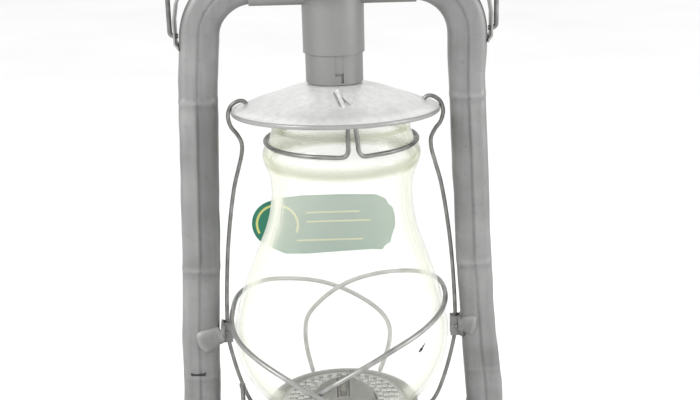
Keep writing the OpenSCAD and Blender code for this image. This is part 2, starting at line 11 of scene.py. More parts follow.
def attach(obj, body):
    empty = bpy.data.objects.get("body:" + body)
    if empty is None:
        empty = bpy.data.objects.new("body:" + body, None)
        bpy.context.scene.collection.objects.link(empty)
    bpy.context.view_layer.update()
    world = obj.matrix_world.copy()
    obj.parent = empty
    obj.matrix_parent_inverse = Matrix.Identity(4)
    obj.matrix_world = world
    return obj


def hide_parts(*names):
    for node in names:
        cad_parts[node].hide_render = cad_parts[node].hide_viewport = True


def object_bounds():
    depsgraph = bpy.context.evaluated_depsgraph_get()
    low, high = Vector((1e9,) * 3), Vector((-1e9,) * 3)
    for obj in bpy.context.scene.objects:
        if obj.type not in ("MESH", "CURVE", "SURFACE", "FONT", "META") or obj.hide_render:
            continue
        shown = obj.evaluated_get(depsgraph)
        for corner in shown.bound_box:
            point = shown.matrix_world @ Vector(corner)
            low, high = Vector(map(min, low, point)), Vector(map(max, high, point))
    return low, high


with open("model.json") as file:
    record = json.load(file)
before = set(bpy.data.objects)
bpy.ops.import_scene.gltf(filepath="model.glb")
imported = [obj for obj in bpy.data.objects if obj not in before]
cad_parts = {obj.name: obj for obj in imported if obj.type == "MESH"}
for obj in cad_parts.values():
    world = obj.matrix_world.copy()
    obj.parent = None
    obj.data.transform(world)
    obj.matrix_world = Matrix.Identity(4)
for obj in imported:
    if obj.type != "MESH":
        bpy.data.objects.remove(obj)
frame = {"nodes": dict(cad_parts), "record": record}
nodes = frame["nodes"]
cad_box = [list(v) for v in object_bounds()]

MM = 0.001
RIM_Z = 257 * MM  # height of the canopy's rim; the camera and most heights are set from it
TAU = 2 * math.pi


# ---- camera ----

CAMERA_AT = (-2.46 * MM, -563 * MM, RIM_Z + 122.67 * MM)
CAMERA_PITCH = math.radians(16.92)  # downwards
CAMERA_YAW = math.radians(0.879)  # towards +X
CAMERA_ROLL = math.radians(-1.434)
FOCAL_PIXELS = 1133.5
IMAGE_WIDTH = 700
SENSOR_MM = 36


def camera():
    data = bpy.data.cameras.new("photo_camera")
    data.sensor_fit = "HORIZONTAL"
    data.sensor_width = SENSOR_MM
    data.lens = SENSOR_MM * FOCAL_PIXELS / IMAGE_WIDTH
    data.clip_start = 0.01
    obj = bpy.data.objects.new("photo_camera", data)
    bpy.context.scene.collection.objects.link(obj)
    forward = Vector(
        (
            math.sin(CAMERA_YAW) * math.cos(CAMERA_PITCH),
            math.cos(CAMERA_YAW) * math.cos(CAMERA_PITCH),
            -math.sin(CAMERA_PITCH),
        )
    )
    level = Vector((math.cos(CAMERA_YAW), -math.sin(CAMERA_YAW), 0))
    up = level.cross(forward)
    right = math.cos(CAMERA_ROLL) * level + math.sin(CAMERA_ROLL) * up
    up = right.cross(forward)
    obj.matrix_world = Matrix(
        (
            (right.x, up.x, -forward.x, CAMERA_AT[0]),
            (right.y, up.y, -forward.y, CAMERA_AT[1]),
            (right.z, up.z, -forward.z, CAMERA_AT[2]),
            (0, 0, 0, 1),
        )
    )
    bpy.context.scene.camera = obj


# ---- material helpers ----

WHITE = (1, 1, 1)
SOCKETS = {
    "metal": "Metallic",
    "rough": "Roughness",
    "ior": "IOR",
    "sheen": "Sheen Weight",
    "specular": "Specular IOR Level",
}


def greys(*stops):
    """The stops of a plain grey ramp, from pairs of position and shade."""
    return [(at, (shade,) * 3) for at, shade in stops]


class Shader:
    """A node tree with one Principled shader, and short ways to add what feeds it."""

    def __init__(self, name):
        material = bpy.data.materials.new(name)
        material.use_nodes = True
        self.take(material)

    @classmethod
    def over(cls, material):
        """The same helpers on a material that is already there."""
        s = cls.__new__(cls)
        s.take(material)
        return s

    def take(self, material):
        self.material = material
        self.tree = material.node_tree
        self.main = self.tree.nodes["Principled BSDF"]
        self.place = self.tree.nodes.new("ShaderNodeTexCoord").outputs["Object"]

    def link(self, a, b):
        self.tree.links.new(a, b)

    def set(self, **values):
        for key, value in values.items():
            self.main.inputs[SOCKETS[key]].default_value = value

    def noise(self, scale, detail=4, stretch=(1, 1, 1)):
        mapping = self.tree.nodes.new("ShaderNodeMapping")
        mapping.inputs["Scale"].default_value = stretch
        self.link(self.place, mapping.inputs["Vector"])
        node = self.tree.nodes.new("ShaderNodeTexNoise")
        node.inputs["Scale"].default_value = scale
        node.inputs["Detail"].default_value = detail
        self.link(mapping.outputs["Vector"], node.inputs["Vector"])
        return node.outputs["Fac"]

    def ramp(self, source, stops):
        node = self.tree.nodes.new("ShaderNodeValToRGB")
        elements = node.color_ramp.elements
        while len(elements) < len(stops):
            elements.new(0.5)
        for element, (at, colour) in zip(elements, stops):
            element.position = at
            element.color = (*colour, 1)
        self.link(source, node.inputs["Fac"])
        return node.outputs["Color"]

    def mix(self, a, b, factor, kind="MIX"):
        node = self.tree.nodes.new("ShaderNodeMix")
        node.data_type = "RGBA"
        node.blend_type = kind
        for socket, value in ((node.inputs[6], a), (node.inputs[7], b), (node.inputs[0], factor)):
            if isinstance(value, (int, float)):
                socket.default_value = value
            elif isinstance(value, tuple):
                socket.default_value = (*value, 1)
            else:
                self.link(value, socket)
        return node.outputs[2]

    def multiply(self, a, b, factor=1.0):
        return self.mix(a, b, factor, "MULTIPLY")

    def upwards(self, low, high):
        """0 at one height and 1 at another, by the object's own coordinates."""
        split = self.tree.nodes.new("ShaderNodeSeparateXYZ")
        self.link(self.place, split.inputs[0])
        return self.scaled(split.outputs["Z"], low, high)

    def outwards(self, reach):
        """0 on the vertical axis and 1 at a distance from it."""
        flat = self.tree.nodes.new("ShaderNodeVectorMath")
        flat.operation = "MULTIPLY"
        flat.inputs[1].default_value = (1, 1, 0)
        self.link(self.place, flat.inputs[0])
        far = self.tree.nodes.new("ShaderNodeVectorMath")
        far.operation = "LENGTH"
        self.link(flat.outputs[0], far.inputs[0])
        return self.scaled(far.outputs["Value"], 0, reach)

    def remapped(self, source, kind, low, high):
        node = self.tree.nodes.new("ShaderNodeMapRange")
        node.inputs[kind + " Min"].default_value = low
        node.inputs[kind + " Max"].default_value = high
        self.link(source, node.inputs["Value"])
        return node.outputs["Result"]

    def scaled(self, source, low, high):
        """Takes low..high to 0..1."""
        return self.remapped(source, "From", low, high)

    def level(self, source, low, high):
        """Takes 0..1 to low..high."""
        return self.remapped(source, "To", low, high)

    def worn(self, colour, edge, amount):
        """Lightens raised edges by the surface's pointiness."""
        geometry = self.tree.nodes.new("ShaderNodeNewGeometry")
        mask = self.ramp(geometry.outputs["Pointiness"], greys((0.5, 0), (0.6, amount)))
        return self.mix(colour, edge, mask)

    def bump(self, source, strength, distance):
        node = self.tree.nodes.new("ShaderNodeBump")
        node.inputs["Strength"].default_value = strength
        node.inputs["Distance"].default_value = distance
        self.link(source, node.inputs["Height"])
        self.link(node.outputs["Normal"], self.main.inputs["Normal"])

    def colour(self, source):
        self.link(source, self.main.inputs["Base Color"])

    def colour_now(self):
        """What feeds the shader's colour so far."""
        return self.main.inputs["Base Color"].links[0].from_socket

    def roughness(self, source):
        self.link(source, self.main.inputs["Roughness"])


# ---- kinds of material ----


def galvanised(name, dark, light, edge, metal=0.55):
    """Dull zinc-coated sheet: soft mottling, faint drawn streaks, grime and rubbed edges."""
    s = Shader(name)
    mottle = s.ramp(s.noise(38, 6), [(0.3, dark), (0.72, light)])
    streaks = s.ramp(s.noise(60, 3, (6, 6, 0.35)), greys((0.35, 0.82), (0.65, 1)))
    spots = s.ramp(s.noise(420, 2), greys((0.28, 0.72), (0.36, 1)))
    base = s.multiply(s.multiply(mottle, streaks, 0.55), spots, 0.5)
    s.colour(s.worn(base, edge, 0.6))
    s.set(metal=metal, specular=0.4)
    s.roughness(s.level(s.noise(90, 4), 0.42, 0.62))
    s.bump(s.noise(260, 5), 0.25, 0.4 * MM)
    return s.material


def tube_zinc(name, shades, inner, along):
    """Zinc sheet with painted shade: the lobe towards the globe is darkened to the shade inner, and
    darker still along its crease.

    The tube's UV says how far across and along the tube a point is, and along gives the painted
    shade's strength at places along it.
    """
    material = galvanised(name, *shades)
    s = Shader.over(material)
    base = s.colour_now()
    split = s.tree.nodes.new("ShaderNodeSeparateXYZ")
    s.link(s.tree.nodes.new("ShaderNodeTexCoord").outputs["UV"], split.inputs[0])
    # painted shade across the tube: the lobe towards the globe darker, deepest in its crease
    crease = 0.82 * inner
    across = greys(
        (0.0, inner * 1.15),
        (0.1, inner * 0.95),
        (0.4, inner),
        (0.47, crease),
        (0.5, crease * 0.9),
        (0.54, 0.93),
        (0.6, 1.0),
    )
    painted_shade = s.ramp(split.outputs["X"], across)
    wander = s.level(s.noise(30, 3), -0.02, 0.02)
    add = s.tree.nodes.new("ShaderNodeMath")
    s.link(split.outputs["Y"], add.inputs[0])
    s.link(wander, add.inputs[1])
    amount = s.ramp(add.outputs[0], greys(*along))
    s.colour(s.mix(base, s.multiply(base, painted_shade), amount))
    return material


def drawn_wire(name, dark, light):
    """Tinned wire: dull with a bright line where the light catches it."""
    s = Shader(name)
    s.colour(s.ramp(s.noise(150, 4), [(0.3, dark), (0.7, light)]))
    s.set(metal=0.8, specular=0.5)
    s.roughness(s.level(s.noise(300, 3), 0.28, 0.46))
    s.bump(s.noise(700, 3), 0.2, 0.2 * MM)
    return s.material


def clear_glass():
    """Old pressed glass: nearly clear in front, cream seen edge on, denser in bands at its foot,
    bead and lip, partly as thicker glass and partly as painted shade for the dark lines there.
    """
    s = Shader("globe_glass")
    facing = s.tree.nodes.new("ShaderNodeLayerWeight")
    facing.inputs["Blend"].default_value = 0.32
    edge_on = facing.outputs["Facing"]
    up = s.upwards(RIM_Z - 170 * MM, RIM_Z)
    # bands of extra opacity and tint: thicker glass, and painted shade for the dark lines at the
    # bead and lip
    foot = ((0.0, 0.3), (0.03, 0.05), (0.3, 0))
    bead = ((0.83, 0.04), (0.85, 0.8), (0.864, 0.6), (0.882, 0.12))
    lip = ((0.944, 0.1), (0.9505, 0.75), (0.9555, 0.7), (0.962, 0.14), (1.0, 0.12))
    thick = s.ramp(up, greys(*foot, *bead, *lip))
    tint = [
        (0.0, (0.95, 0.96, 0.90)),
        (0.45, (0.93, 0.94, 0.82)),
        (0.58, (0.86, 0.88, 0.75)),
        (0.74, (0.56, 0.58, 0.5)),
        (1.0, (0.42, 0.44, 0.38)),
    ]
    thick_and_shaded_tint = [(0.12, WHITE), (0.2, (0.86, 0.87, 0.8)), (0.75, (0.56, 0.57, 0.5))]
    s.colour(s.multiply(s.ramp(edge_on, tint), s.ramp(thick, thick_and_shaded_tint)))
    veil = s.ramp(edge_on, greys((0.0, 0.1), (0.34, 0.13), (0.46, 0.42), (0.7, 0.6), (1.0, 0.92)))
    haze = s.multiply(veil, s.level(s.noise(24, 3, (1, 1, 0.6)), 0.75, 1.1), 0.5)
    thinner = s.ramp(up, greys((0.05, 0.9), (0.12, 0.6), (0.4, 0.6), (0.52, 1)))
    s.link(s.mix(s.multiply(haze, thinner), thick, 1.0, "ADD"), s.main.inputs["Alpha"])
    s.set(rough=0.06, specular=0.6, ior=1.5)
    s.bump(s.noise(9, 2), 0.1, 2 * MM)
    return s.material


def canopy_tin(name, pale, rim, collar):
    """Bright tinplate darkened by distance from the axis: painted shade on the rolled edge and in a
    band down the slope, and a dark collar.
    """
    material = galvanised(name, *pale, 0.3)
    s = Shader.over(material)
    s.roughness(s.level(s.noise(60, 4), 0.26, 0.4))
    base = s.colour_now()
    out = s.outwards(60 * MM)
    neck = [(0.0, collar), (0.226, collar), (0.229, WHITE)]
    # painted shade: a darker band where the dome steepens towards its rim
    painted_slope_shade = greys((0.5, 1), (0.76, 0.84), (0.82, 0.98), (0.864, 1))
    # painted shade on the rolled edge
    edge = [(0.873, rim), (1.0, rim)]
    s.colour(s.multiply(base, s.ramp(out, neck + painted_slope_shade + edge)))
    return material


def brass(name):
    s = Shader(name)
    s.colour(s.ramp(s.noise(120, 5), [(0.3, (0.24, 0.16, 0.07)), (0.7, (0.50, 0.38, 0.17))]))
    s.set(metal=0.9)
    s.roughness(s.level(s.noise(200, 3), 0.35, 0.6))
    s.bump(s.noise(500, 3), 0.2, 0.2 * MM)
    return s.material


def woven(name, dark, light):
    s = Shader(name)
    weave = s.noise(900, 2, (1, 1, 0.3))
    s.colour(s.ramp(weave, [(0.35, dark), (0.65, light)]))
    s.set(rough=0.95, sheen=0.3)
    s.bump(weave, 0.7, 0.3 * MM)
    return s.material


def burnt(material, low, high):
    """Chars a material upwards from one height to another."""
    s = Shader.over(material)
    base = s.colour_now()
    s.colour(s.multiply(base, s.ramp(s.upwards(low, high), [(0, WHITE), (1, (0.1, 0.09, 0.08))])))
    return material


def moulded_rubber(name):
    s = Shader(name)
    s.colour(s.ramp(s.noise(300, 3), greys((0.3, 0.012), (0.7, 0.03))))
    s.set(rough=0.8)
    s.bump(s.noise(900, 2), 0.2, 0.1 * MM)
    return s.material


def printed_card(name, base, faded):
    """Matte card with paper fibre and a little fading."""
    s = Shader(name)
    fade = s.ramp(s.noise(30, 4), [(0.35, base), (0.75, faded)])
    fibre = s.ramp(s.noise(1500, 2), greys((0.3, 0.9), (0.7, 1)))
    s.colour(s.multiply(fade, fibre, 0.6))
    s.set(rough=0.85)
    s.bump(s.noise(2500, 2), 0.2, 0.1 * MM)
    return s.material


# ---- materials ----

GREY_EDGE = (0.45, 0.45, 0.44)
ZINC = galvanised("galvanised", (0.17, 0.174, 0.17), (0.28, 0.285, 0.28), GREY_EDGE)
TUBE_SHADES = ((0.19, 0.194, 0.19), (0.32, 0.325, 0.32), (0.5, 0.5, 0.49))
# how strongly each tube's painted shade on its lobe towards the globe shows, by height along it
LEFT_PAINTED_SHADE = ((0, 0.25), (0.28, 0.3), (0.31, 0.95), (0.495, 1), (0.52, 0.5), (0.6, 0.4))
RIGHT_PAINTED_SHADE = ((0, 0.2), (0.25, 0.25), (0.31, 0.65), (0.4, 0.75), (0.47, 1), (0.6, 0.4))
LEFT_ZINC = tube_zinc("left_tube_zinc", TUBE_SHADES, 0.64, LEFT_PAINTED_SHADE)
RIGHT_ZINC = tube_zinc("right_tube_zinc", TUBE_SHADES, 0.82, RIGHT_PAINTED_SHADE)
SLEEVE_ZINC = galvanised("sleeve_zinc", (0.1, 0.104, 0.1), (0.165, 0.17, 0.165), (0.36, 0.36, 0.35))
# a darker copy of the zinc: painted shade on the crown's arms, whose undersides face away from the
# light
CROWN_PAINTED_SHADE_ZINC = galvanised("crown_zinc_painted_shade", (0.08, 0.084, 0.08), (0.135, 0.14, 0.135), (0.34, 0.34, 0.33))
PALE_SHADES = ((0.62, 0.62, 0.61), (0.8, 0.8, 0.785), (0.9, 0.9, 0.88))
PALE_ZINC = galvanised("pale_tinplate", *PALE_SHADES, 0.2)
CANOPY_SHADES = ((0.7, 0.7, 0.69), (0.86, 0.86, 0.845), (0.92, 0.92, 0.9))
# the first of the last two shades is painted shade on the rolled edge
CANOPY_TIN = canopy_tin("canopy_tinplate", CANOPY_SHADES, (0.42,) * 3, (0.33,) * 3)
DARK_STEEL = galvanised("burner_steel", (0.09, 0.09, 0.085), (0.20, 0.20, 0.19), (0.35, 0.34, 0.32))
WIRE = drawn_wire("tinned_wire", (0.15, 0.15, 0.145), (0.30, 0.30, 0.29))
GUARD_WIRE = drawn_wire("guard_wire", (0.26, 0.26, 0.25), (0.42, 0.42, 0.41))
GLASS = clear_glass()
BRASS = brass("burner_brass")
COTTON_SHADES = ((0.42, 0.36, 0.24), (0.70, 0.64, 0.50))
COTTON = woven("wick_cotton", *COTTON_SHADES)
BURNT_COTTON = burnt(woven("burnt_cotton", *COTTON_SHADES), 90 * MM, 98 * MM)
RUBBER = moulded_rubber("gasket_rubber")
CARD = printed_card("tag_card", (0.03, 0.20, 0.125), (0.05, 0.26, 0.165))
# near black: real dirt on the glass fleck, and painted shade in the tube's slit
DIRT_AND_PAINTED_SHADE = moulded_rubber("dirt_and_painted_shade")
SOLDER = galvanised("solder", (0.13, 0.134, 0.13), (0.22, 0.225, 0.22), (0.6, 0.6, 0.59), 0.5)
# dark grey: painted shade in the hollows beside the canopy's ribs
HOLLOW_PAINTED_SHADE = galvanised("hollow_painted_shade", (0.2,) * 3, (0.3,) * 3, (0.4,) * 3, 0.2)
CAP_ZINC = galvanised("cap_zinc", (0.3, 0.304, 0.3), (0.44, 0.444, 0.44), (0.62, 0.62, 0.61))
GRILLE_ZINC = galvanised("grille_zinc", (0.19, 0.194, 0.19), (0.28, 0.285, 0.28), GREY_EDGE)
# near white: partly bare punched metal, partly a painted highlight for the glints on the grille's
# lips
BURR_PAINTED_GLINT = galvanised("burr_painted_glint", (0.8, 0.8, 0.79), (0.9, 0.9, 0.89), (0.95, 0.95, 0.94), 0.2)
CONE_STEEL = galvanised("cone_steel", (0.10, 0.10, 0.09), (0.19, 0.19, 0.175), (0.34, 0.33, 0.31))
CARD_BORDER = printed_card("tag_border", (0.68, 0.7, 0.22), (0.76, 0.78, 0.32))

BY_SLOT = {
    "galvanised": ZINC,
    "tinplate": PALE_ZINC,
    "wire": WIRE,
    "burner_brass": BRASS,
    "burner_steel": DARK_STEEL,
    "glass": GLASS,
    "wick_cotton": COTTON,
    "gasket": RUBBER,
    "tag_paper": CARD,
}
BY_NODE = {
    "inner_sleeve": SLEEVE_ZINC,
    "outer_sleeve": SLEEVE_ZINC,
    "crown_shell": CROWN_PAINTED_SHADE_ZINC,
    "crown_cover": CAP_ZINC,
    "vent_band": CAP_ZINC,
    "rain_cap": CAP_ZINC,
    "filler_cap": CAP_ZINC,
    "wick_knob": CAP_ZINC,
    "plate_grille": GRILLE_ZINC,
    "burner_cone": CONE_STEEL,
    "wick_tube": DARK_STEEL,
    "wick": BURNT_COTTON,
}


def dress_cad_nodes():
    """Every CAD node takes its own procedural material, or else the one of its slot."""
    for part in frame["record"]["subparts"]:
        obj = nodes[part["node"]]
        obj.data.materials.clear()
        obj.data.materials.append(BY_NODE.get(part["node"], BY_SLOT[part["material_slot"]]))


# ---- mesh helpers ----

WIRE_SIDES = 14
WIRE_END = 2  # points over which a wire's end is rounded


def bell(distance, wide):
    """1 at no distance, falling away to nothing over a few widths."""
    return math.exp(-((distance / wide) ** 2))


def catmull_value(p, q, r, s, t):
    """The value at t (0..1) from q to r, where p comes before and s after."""
    start = 2 * q + (r - p) * t
    return 0.5 * (start + (2 * p - 5 * q + 4 * r - s) * t * t + (3 * q - p - 3 * r + s) * t**3)


def catmull(points, steps):
    """A smooth line through the points, with steps between neighbours; tuples of any length."""
    line = []
    last = len(points) - 1
    for i in range(last):
        a, b, c, d = points[max(i - 1, 0)], points[i], points[i + 1], points[min(i + 2, last)]
        for k in range(steps):
            t = k / steps
            line.append(tuple(catmull_value(p, q, r, s, t) for p, q, r, s in zip(a, b, c, d)))
    line.append(tuple(points[-1]))
    return line


def between(pairs, at):
    """The second value where the first is at, along pairs sorted by the first."""
    for (x0, y0), (x1, y1) in zip(pairs, pairs[1:]):
        if x0 <= at <= x1:
            return y0 + (y1 - y0) * (at - x0) / (x1 - x0)
    return pairs[0][1] if at < pairs[0][0] else pairs[-1][1]


def offset(line, depth):
    """The line moved sideways by depth, to the inner side of an outline of (radius, height)."""
    moved = []
    for i, (r, z) in enumerate(line):
        before, after = line[max(i - 1, 0)], line[min(i + 1, len(line) - 1)]
        along = Vector((after[0] - before[0], after[1] - before[1])).normalized()
        moved.append((r - depth * along.y, z + depth * along.x))
    return moved


def above_rim(points):
    """Points of (radius, height) from millimetres above the canopy's rim to the frame's metres."""
    return [(r * MM, RIM_Z + z * MM) for r, z in points]


def piece(name, verts, faces, material, body, slot, *replaced):
    mesh = bpy.data.meshes.new(name)
    mesh.from_pydata([tuple(v) for v in verts], [], faces)
    mesh.validate()
    shell = bmesh.new()
    shell.from_mesh(mesh)
    bmesh.ops.recalc_face_normals(shell, faces=shell.faces)
    shell.to_mesh(mesh)
    shell.free()
    mesh.polygons.foreach_set("use_smooth", [True] * len(mesh.polygons))
    mesh.update()
    obj = bpy.data.objects.new(name, mesh)
    bpy.context.scene.collection.objects.link(obj)
    mesh.materials.append(material)
    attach(obj, body)
    if replaced:
        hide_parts(*replaced)
    return obj


def strip_faces(rows, columns, closed_rows=False):
    """Quads over a grid whose columns close on themselves."""
    faces = []
    for i in range(rows if closed_rows else rows - 1):
        j = (i + 1) % rows
        for k in range(columns):
            m = (k + 1) % columns
            faces.append((i * columns + k, i * columns + m, j * columns + m, j * columns + k))
    return faces


def tube_faces(rows, columns):
    """The same quads with a flat cap at each end."""
    first = tuple(reversed(range(columns)))
    last = tuple(range((rows - 1) * columns, rows * columns))
    return strip_faces(rows, columns) + [first, last]


def slab_faces(n):
    """Faces of a slab: n points of one side, then the n points behind them."""
    rim = [(k, (k + 1) % n, n + (k + 1) % n, n + k) for k in range(n)]
    return [tuple(range(n)), tuple(range(2 * n - 1, n - 1, -1))] + rim


def spun(outline, segments, shape):
    """Verts and faces of a closed (radius, height) outline turned about the axis.

    shape moves each point.
    """
    verts = []
    for k in range(segments):
        a = TAU * k / segments
        verts += [shape(Vector((r * math.cos(a), r * math.sin(a), z))) for r, z in outline]
    return verts, strip_faces(segments, len(outline), True)


def swept(path, width_of):
    """Verts and faces of a round wire along path; width_of(i) is its radius at point i."""
    points = [Vector(p) for p in path]
    last = len(points) - 1
    side = None
    verts = []
    for i, p in enumerate(points):
        along = (points[min(i + 1, last)] - points[max(i - 1, 0)]).normalized()
        if side is None:
            side = along.orthogonal().normalized()
        side = (side - side.dot(along) * along).normalized()
        up = along.cross(side)
        for k in range(WIRE_SIDES):
            a = TAU * k / WIRE_SIDES
            verts.append(p + width_of(i) * (math.cos(a) * side + math.sin(a) * up))
    return verts, tube_faces(len(points), WIRE_SIDES)


def wire(name, path, diameter, body, material, *replaced):
    """A drawn wire with rounded ends."""
    last = len(path) - 1

    def width(i):
        from_end = min(i, last - i)
        if from_end >= WIRE_END:
            return diameter / 2
        return diameter / 2 * math.sqrt(1 - (1 - (from_end + 0.35) / (WIRE_END + 0.35)) ** 2)

    verts, faces = swept(path, width)
    piece(name, verts, faces, material, body, "wire", *replaced)


# ---- air tubes ----

TUBE_W = 19.5 * MM
TUBE_D = 14 * MM
TUBE_CORNER = 4.2 * MM
CREASE_DEPTH = 0.75 * MM
CREASE = ((1.9, 0), (1.0, 0.25), (0.4, 0.75), (0, 1), (-0.4, 0.75), (-1.0, 0.25), (-1.9, 0))
INNER_FALL = 0.24  # share by which the lobe towards the globe thins towards its edge
OUTER_FALL = 0.07
CRIMP_X = 71.8 * MM
CRIMP_Z = RIM_Z - 83 * MM
UPPER_LEAN = math.radians(2.5)
LOWER_LEAN = math.radians(3.9)
TOP_BEND_R = 27 * MM
LOW_BEND_R = 21 * MM
BEND_STEPS = 26
ARM_STEPS = 6
ARM_TOP_Z = RIM_Z + 63.7 * MM
ARM_LOW_Z = 72.25 * MM
TUBE_IN_X = 24 * MM
CHAMBER_R = 33 * MM
STATION_GAP = 1.1 * MM

# the pressed beads: height above the canopy's rim, how far proud, how wide, in millimetres
BEADS = ((6, 0.75, 1.5), (-83, 0.7, 1.7), (-144, 0.35, 1.3))
BEAD_X = 60 * MM  # stations nearer the axis than this are on an arm, which has no beads
NECK_DEPTH, NECK_BELOW, NECK_WIDE = 0.45, 3.2, 2.4  # the waist under each of the upper two beads
UV_REACH = 400  # millimetres of height that the painted shade's map runs over

# each side's name, material, how far it is bent outwards and by what share it is narrower,
# as the photographed frame is
TUBE_SIDES = {-1: ("left", LEFT_ZINC, 1.1 * MM, 0), 1: ("right", RIGHT_ZINC, -1.0 * MM, 0.07)}
BENT_FROM_Z, BENT_OVER = 104 * MM, 30 * MM
BENT_TO, BENT_FADE = 36, 20  # in millimetres above the rim


def tube_line():
    """Stations along a tube's centreline: x, z and heading in the XZ plane."""

    def upper(z):
        return (CRIMP_X - (z - CRIMP_Z) * math.tan(UPPER_LEAN), z, UPPER_LEAN - math.pi / 2)

    def lower(z):
        return (CRIMP_X + (CRIMP_Z - z) * math.tan(LOWER_LEAN), z, LOWER_LEAN - math.pi / 2)

    turn = math.pi / 2 - UPPER_LEAN
    top_z = ARM_TOP_Z - TOP_BEND_R * (1 - math.cos(turn))
    top_x = upper(top_z)[0] - TOP_BEND_R * math.sin(turn)
    low_z = ARM_LOW_Z + LOW_BEND_R * (1 + math.sin(LOWER_LEAN))
    low_x = lower(low_z)[0] - LOW_BEND_R * math.cos(LOWER_LEAN)
    line = []
    for k in range(ARM_STEPS):
        line.append((TUBE_IN_X + k / ARM_STEPS * (top_x - TUBE_IN_X), ARM_TOP_Z, 0))
    for k in range(BEND_STEPS + 1):
        t = turn * k / BEND_STEPS
        x, z = top_x + TOP_BEND_R * math.sin(t), ARM_TOP_Z - TOP_BEND_R * (1 - math.cos(t))
        line.append((x, z, -t))
    count = int((top_z - low_z) / STATION_GAP)
    for k in range(1, count):
        z = top_z + (low_z - top_z) * k / count
        line.append(upper(z) if z > CRIMP_Z else lower(z))
    for k in range(BEND_STEPS + 1):
        t = LOWER_LEAN - (math.pi / 2 + LOWER_LEAN) * k / BEND_STEPS
        x, z = low_x + LOW_BEND_R * math.cos(t), ARM_LOW_Z + LOW_BEND_R * (1 + math.sin(t))
        line.append((x, z, t - math.pi / 2))
    for k in range(1, ARM_STEPS + 1):
        line.append((low_x + (CHAMBER_R - low_x) * k / ARM_STEPS, ARM_LOW_Z, -math.pi))
    return line


def lobed_section(w, d, crease):
    """Half turn by half turn: flat faces with round corners, each face creased along its middle."""
    corner = TUBE_CORNER
    half = []
    for k in range(7):
        a = math.pi / 2 * k / 6
        half.append((w / 2 - corner + corner * math.cos(a), d / 2 - corner + corner * math.sin(a)))
    for x, drop in CREASE:
        half.append((x * MM, d / 2 - drop * crease))
    for k in range(7):
        a = math.pi / 2 * (1 + k / 6)
        half.append((-w / 2 + corner + corner * math.cos(a), d / 2 - corner + corner * math.sin(a)))
    whole = half + [(-x, -y) for x, y in half]
    fall = [1 - (INNER_FALL * -x if x < 0 else OUTER_FALL * x) / (w / 2) for x, _ in whole]
    return [(x, y * f) for (x, y), f in zip(whole, fall)]


def air_tube(side):
    """A tube with its beads, and the ripple and wobble of sheet that has been handled."""
    name, skin, bent, slimmer = TUBE_SIDES[side]
    line = tube_line()
    verts, marks = [], []
    reach = cad_box[1][0]
    for x, z, heading in line:
        height = (z - RIM_Z) / MM
        past_low_bend = max(0, (z - BENT_FROM_Z) / BENT_OVER)
        before_shoulder = max(0, (BENT_TO - height) / BENT_FADE)
        share = min(1, past_low_bend, before_shoulder)
        shift, slim = bent * share, 1 - slimmer * share
        beads = BEADS if abs(x) > BEAD_X else ()
        proud = sum(p * bell(height - h, w) for h, p, w in beads)
        neck = sum(NECK_DEPTH * bell(height - h + NECK_BELOW, NECK_WIDE) for h, _, _ in beads[:2])
        crease = max(0.0, 1 - proud) * CREASE_DEPTH
        ripple = 0.16 * math.sin(z / MM * 0.11 + side) + 0.1 * math.sin(z / MM * 0.31 + 2 * side)
        w = TUBE_W + (0.35 * proud + ripple) * MM
        d = TUBE_D + 2 * (proud - neck) * MM
        for u, v in lobed_section(w, d, crease):
            marks.append((u / w + 0.5, height / UV_REACH + 0.5))
            wobble = noise.noise(Vector((u, v, z)) * 60) * 0.22 * MM
            out = u * slim + wobble
            across = min(reach, x + shift - out * math.sin(heading))
            thicker = wobble * (0.8 if v > 0 else -0.8)
            verts.append((side * across, v + thicker, z + out * math.cos(heading)))
    faces = tube_faces(len(line), len(verts) // len(line))
    solid = name + "_air_tube"
    obj = piece(name + "_tube_skin", verts, faces, skin, "frame", "galvanised", solid)
    layer = obj.data.uv_layers.new(name="across_and_along")
    for loop in obj.data.loops:
        layer.data[loop.index].uv = marks[loop.vertex_index]


SOLDER_SIDES = 20
# how far along each blob, and its share of the full size there
SOLDER_RINGS = (
    (0.0, 0.05), (0.03, 0.42), (0.09, 0.7), (0.2, 0.9), (0.36, 1.0), (0.8, 0.98), (1.0, 0.9),
)
# start, end, and radius at each, in millimetres from the rim
SOLDER_BLOBS = (
    ("left_guide_solder", (-76.6, -6.6, -125.0), (-64.0, -4.6, -119.2), 8.0, 4.6),
    ("right_guide_solder", (72.0, -6.6, -118.6), (64.0, -4.6, -117.2), 6.4, 4.6),
)


def solder_cones():
    """The blobs of solder and folded sheet that join each wire guide to its tube."""
    for name, start, end, wide, narrow in SOLDER_BLOBS:
        a, b = (Vector((x * MM, y * MM, RIM_Z + z * MM)) for x, y, z in (start, end))
        along = (b - a).normalized()
        side = along.cross(Vector((0, 1, 0))).normalized()
        out = side.cross(along)
        verts = []
        for t, full in SOLDER_RINGS:
            size = (wide + (narrow - wide) * t) * full * MM
            for k in range(SOLDER_SIDES):
                angle = TAU * k / SOLDER_SIDES
                lump = 1 + 0.06 * math.sin(3 * angle + 9 * t)
                ray = side * math.cos(angle) + out * 0.5 * math.sin(angle)
                verts.append(a.lerp(b, t) + ray * size * lump)
        faces = tube_faces(len(SOLDER_RINGS), SOLDER_SIDES)
        piece(name, verts, faces, SOLDER, "frame", "galvanised")


SLIT_Z = RIM_Z - 141.6 * MM
SLIT_DEPTHS = (-7.6, -5.5)
SLIT = (
    (-81.4, 0.5), (-80.2, -0.1), (-74.6, -0.1), (-73.6, 0.6), (-73.8, -0.9), (-77.5, -0.8),
    (-81.2, -0.6),
)


def tube_slit():
    """A black slab on the left tube: painted shade in the slit where its inner sheet ends."""
    verts = [Vector((x * MM, y * MM, SLIT_Z + dz * MM)) for y in SLIT_DEPTHS for x, dz in SLIT]
    piece("tube_slit", verts, slab_faces(len(SLIT)), DIRT_AND_PAINTED_SHADE, "frame", "galvanised")


